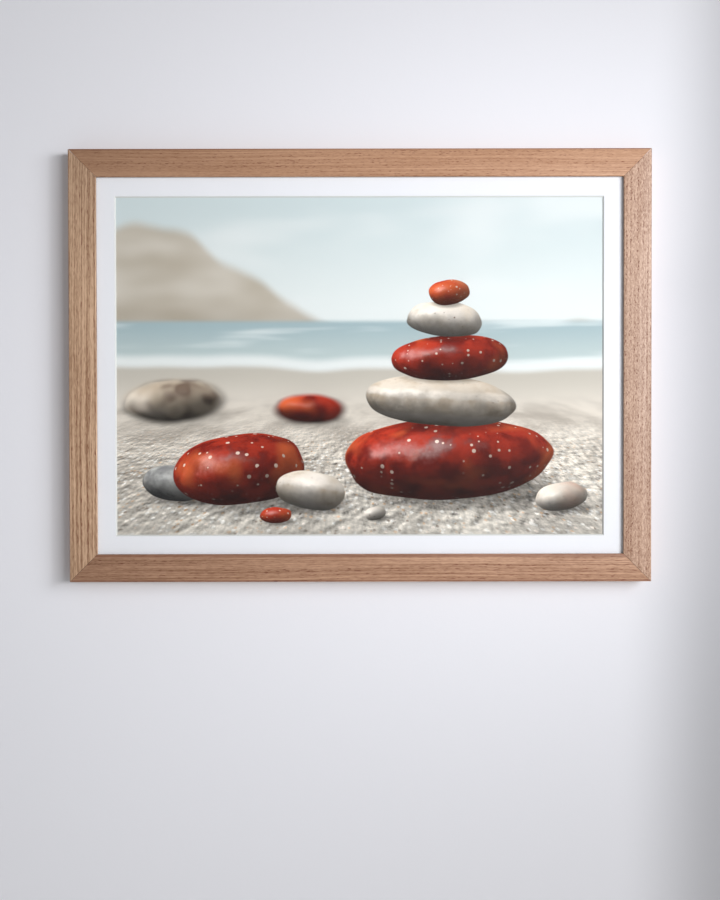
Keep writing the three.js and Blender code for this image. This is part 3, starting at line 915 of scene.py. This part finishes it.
def strap_recipe():
    """A strip of steel bent along the mesh's line, with a rounded tail and softened edges."""
    t = Recipe("Bent strap", Width=STRAP_WIDTH, Thickness=STRAP_THICKNESS, Edge=0.22 * MM,
               Tail=TAIL_ROUND, End=0.0, Middle=0.0)
    path = t.out("GeometryNodeMeshToCurve", None, {0: t.given("Geometry")})
    path = t.out("GeometryNodeSetCurveNormal", {"mode": "FREE"}, {0: path, "Normal": (1, 0, 0)})
    size = {"Width": t.given("Width"), "Height": t.given("Thickness")}
    flat = t.out("GeometryNodeCurvePrimitiveQuadrilateral", None, size)
    soft = t.out("GeometryNodeFilletCurve", {"mode": "POLY"},
                 {"Curve": flat, "Count": 4, "Radius": t.given("Edge")})
    strip = t.sweep(path, soft)
    # Near the tail the strip narrows to a round end.
    x, y, z = t.split(t.out("GeometryNodeInputPosition"))
    tail, half = t.given("Tail"), t.given("Width") * 0.5
    into = 1 - t.math("MINIMUM", (z - t.given("End")) / tail, 1.0)
    kept = t.math("SQRT", t.math("MAXIMUM", 1 - into * into, 0.0))
    narrow = 1 - (tail / half) * (1 - kept)
    place = t.join((x - t.given("Middle")) * narrow + t.given("Middle"), y, z)
    t.end(t.out("GeometryNodeSetPosition", None, {"Geometry": strip, "Position": place}))
    return t


def straps(steel):
    """Each strap lies on the wood, goes up round its ring's bar and folds back over itself."""
    recipe = strap_recipe()
    under_bend, above_fold, steps = 12 * MM, 1.2 * MM, 14
    for side in ("left", "right"):
        node = "strap_hanger_" + side
        low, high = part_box(node)
        _, bar_y, bar_z = bar_middle(side)
        middle, half = (low.x + high.x) / 2, STRAP_THICKNESS / 2
        flat_y = low.y + half
        lap_y = low.y + STRAP_THICKNESS + GAP + half
        radius = WIRE + GAP + half
        bend = math.degrees(math.asin((bar_y - lap_y) / radius))
        tail_z = bar_z - STRAP_TAIL
        line = [(flat_y, tail_z + TAIL_ROUND * (i / steps) ** 2) for i in range(steps + 1)]
        line += [(flat_y, bar_z - under_bend)] + arc((bar_y, bar_z), radius, 180, -bend, 28)
        line += [(lap_y, bar_z - STRAP_FOLD + above_fold), (lap_y, bar_z - STRAP_FOLD)]
        points = [(middle, y, z) for y, z in line]
        holes = drill([n for n in NODES if n.startswith("strap_screw_" + side)], low.y)
        piece = recipe.make("folded_strap_" + side, row(node, points), steel, cutters=[holes],
                            End=tail_z, Middle=middle)
        bpy.data.objects.remove(holes)
        finished(piece, "frame", [node], steel)


def drill(screws_through, y):
    """A cutter for round holes on the screws' axes."""
    work = bmesh.new()
    for node in sorted(screws_through):
        place = Matrix.Translation(on_axis(node, y))
        turn = Matrix.Rotation(math.pi / 2, 4, "X")
        bmesh.ops.create_cone(work, cap_ends=True, segments=32, radius1=SCREW_HOLE,
                              radius2=SCREW_HOLE, depth=4 * MM, matrix=place @ turn)
    made = bpy.data.meshes.new("strap_holes")
    work.to_mesh(made)
    work.free()
    return new_object("strap_holes", outward(made))


# ---- Sheets ----

# The mat's window where its bevel starts: left, right, bottom and top.
WINDOW = (-295.2 * MM, 293.8 * MM, -204.9 * MM, 204.1 * MM)
FACE, CORE = 0, 1  # the mat's material slots
SEAM = 0.3 * MM  # the bevel on the pane's edges


def window_mat(finishes):
    """A card with a window cut at 45 degrees, so that its core shows as a bevel."""
    low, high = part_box("window_mat")
    depth = high.y - low.y
    left, right, bottom, top = WINDOW
    rings = [
        (low.y, low.x, high.x, low.z, high.z),
        (low.y, left, right, bottom, top),
        (high.y, left + depth, right - depth, bottom + depth, top - depth),
        (high.y, low.x, high.x, low.z, high.z),
    ]
    points = [(x, y, z) for y, *sides in rings for x, z in corners(*sides)]
    faces, slots = [], []
    for ring in range(4):
        for i in range(4):
            a, b = 4 * ring, 4 * ((ring + 1) % 4)
            faces.append((a + i, a + (i + 1) % 4, b + (i + 1) % 4, b + i))
            slots.append(FACE if ring % 2 == 0 else CORE)
    mesh = mesh_of("bevelled_mat", points, faces)
    for material in finishes:
        mesh.materials.append(material)
    mesh.polygons.foreach_set("material_index", slots)
    piece = new_object("bevelled_mat", outward(mesh))
    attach(piece, "frame")
    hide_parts("window_mat")


def glazing(finish):
    """The pane, with its edges seamed by a fine bevel."""
    low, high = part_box("glazing")
    work = bmesh.new()
    bmesh.ops.create_cube(work, size=1.0)
    bmesh.ops.scale(work, vec=high - low, verts=work.verts)
    bmesh.ops.translate(work, vec=(low + high) / 2, verts=work.verts)
    bmesh.ops.bevel(work, geom=work.edges[:], offset=SEAM, segments=1, affect="EDGES")
    mesh = bpy.data.meshes.new("pane")
    work.to_mesh(mesh)
    work.free()
    return finished(new_object("pane", outward(mesh)), "frame", ["glazing"], finish)


def dress(node, material):
    """Gives a CAD solid, whose shape is right, its finish."""
    NODES[node].data.materials.clear()
    NODES[node].data.materials.append(material)


# ---- Surroundings ----

# A shade painted into the wall's colour darkens it from SHADE_START rightwards. Above SHADE_BEND the
# shade's edge leans out.
SHADE_START, SHADE_END, SHADE_TONE = 0.31, 0.455, 0.6
SHADE_BEND, SHADE_LEAN = 0.1, 0.15


def wall_finish():
    """Painted plaster, with a painted shade towards the right. It lets light and sight through from
    behind, so that the back can be seen.
    """
    f = Finish("painted wall")
    place = f.place()
    roller = f.noise(place, 240.0, 4.0, 0.6)
    cloud = f.noise(place, 1.4)
    x, _, z = f.split(place)
    lean = f.math("MAXIMUM", z - SHADE_BEND, 0.0) * SHADE_LEAN
    shade = f.step(x - lean, SHADE_START, SHADE_END, 1.0, SHADE_TONE)
    paint = f.out("ShaderNodeBsdfDiffuse", None, {
        "Color": f.tint(linear(236, 236, 241), shade * (0.985 + cloud * 0.03)),
        "Normal": f.bump(roller, 0.15 * MM, 0.5)})
    behind = f.out("ShaderNodeNewGeometry", output="Backfacing")
    shadow_ray = f.out("ShaderNodeLightPath", output="Is Shadow Ray")
    through = f.out("ShaderNodeBsdfTransparent")
    both = f.out("ShaderNodeMixShader", None,
                 {0: f.math("MAXIMUM", behind, shadow_ray), 1: paint, 2: through})
    f.node("ShaderNodeOutputMaterial", None, {"Surface": both})
    return f.material


def floor_finish():
    f = Finish("pale floor")
    cloud = f.noise(f.place(), 0.8)
    return f.surface(Base_Color=f.tint(linear(226, 225, 222), 0.97 + cloud * 0.05), Roughness=0.7)


FLOOR = -1.46  # the picture's centre hangs this far above the floor
WALL_ROOM = 0.1 * MM  # between the bumpers and the wall
WALL_SIDES = (-3, 3, FLOOR, 1.6)  # left, right, bottom and top
FLOOR_SIDES = (-4, 4, -5, 4)  # left, right, near and far
STUDIO, STUDIO_STRENGTH = (0.96, 0.98, 1.0, 1), 0.25
# Each light's name, place, target, width and height, watts, colour, and spread in degrees.
FRONT_LIGHTS = (
    ("far window", (2.9, -4.4, 0.3), (0, 0, 0), (2.5, 0.9), 124, (1.0, 0.99, 0.985), 180),
    ("soft box", (0.95, -0.9, 0.24), (0.05, 0, 0), (0.6, 0.6), 1.6, (0.96, 0.985, 1.03), 60),
)
BACK_LIGHTS = [
    (name, (x, 1.7, 0.9), (0, 0, 0), (0.8, 0.8), 20, (0.96, 0.98, 1.0), 180)
    for name, x in (("back_left", -0.9), ("back_right", 1.1))]


def surroundings(pane):
    wall = mesh_of("wall", [(x, WALL + WALL_ROOM, z) for x, z in corners(*WALL_SIDES)], [(0, 1, 2, 3)])
    floor = mesh_of("floor", [(x, y, FLOOR) for x, y in corners(*FLOOR_SIDES)], [(0, 1, 2, 3)])
    for mesh, finish in ((wall, wall_finish()), (floor, floor_finish())):
        mesh.materials.append(finish)
        new_object(mesh.name, mesh)
    world = bpy.data.worlds.new("studio")
    world.use_nodes = True
    background = world.node_tree.nodes["Background"]
    background.inputs["Color"].default_value = STUDIO
    background.inputs["Strength"].default_value = STUDIO_STRENGTH
    bpy.context.scene.world = world
    bpy.context.scene.view_settings.view_transform = "Standard"
    front = [area_light(*light) for light in FRONT_LIGHTS]
    for light in BACK_LIGHTS:
        area_light(*light)
    # The front lights' mirror images stay out of the glazing, where they would hide the print.
    unlit = bpy.data.collections.new("not lit from the front")
    unlit.objects.link(pane)
    unlit.collection_objects[0].light_linking.link_state = "EXCLUDE"
    for light in front:
        light.light_linking.receiver_collection = unlit


# ---- The framed print ----

# Each member's shade is partly the wood's own tone and partly painted light. Its edges are lines of
# painted shade.
moulding({
    "rail_top": oak(
        "oak, top rail", False, 1, linear(195, 151, 119), linear(159, 113, 80),
        streaks=1.7, specks=1.25, dash=0.007, shade=(0.72, 1.02, 1.13),
        edges=[(OUTER_HIGH.z - 0.9 * MM, 0.9 * MM, 0.6)]),
    "rail_bottom": oak(
        "oak, bottom rail", False, 2, linear(195, 152, 122), linear(146, 103, 74),
        streaks=2.1, specks=1.6, dash=0.010, shade=(0.78, 0.97, 1.10),
        edges=[(OUTER_LOW.z + 1.6 * MM, 1.3 * MM, 0.6), (OUTER_LOW.z + SIGHT - 2 * MM, 3 * MM, 0.5)]),
    "stile_left": oak(
        "oak, left stile", True, 3, linear(210, 174, 143), linear(142, 105, 76),
        streaks=2.2, specks=1.7, dash=0.010, shade=(1.02, 1.06, 0.88),
        edges=[(OUTER_LOW.x + 0.6 * MM, 0.8 * MM, 0.5)]),
    "stile_right": oak(
        "oak, right stile", True, 4, linear(210, 173, 147), linear(146, 104, 76),
        streaks=0.75, specks=2.1, dash=0.0036, shade=(1.0, 0.86, 1.02)),
})
window_mat([card("mat board face", MAT_FACE), card("mat board core", MAT_CORE)])
pane = glazing(glass())
dress("print", printed_paper())
dress("mount_board", foam_board())
dress("backing_board", hardboard())
steel = plated_steel("zinc plate")
nail_steel = plated_steel("nail steel", 0.75)
for node in NODES:
    if node.startswith("v_nail"):
        dress(node, nail_steel)
screws(steel)
turn_buttons(steel)
d_rings(plated_steel("ring steel", 1.02))
straps(steel)
bumpers(rubber())
surroundings(pane)
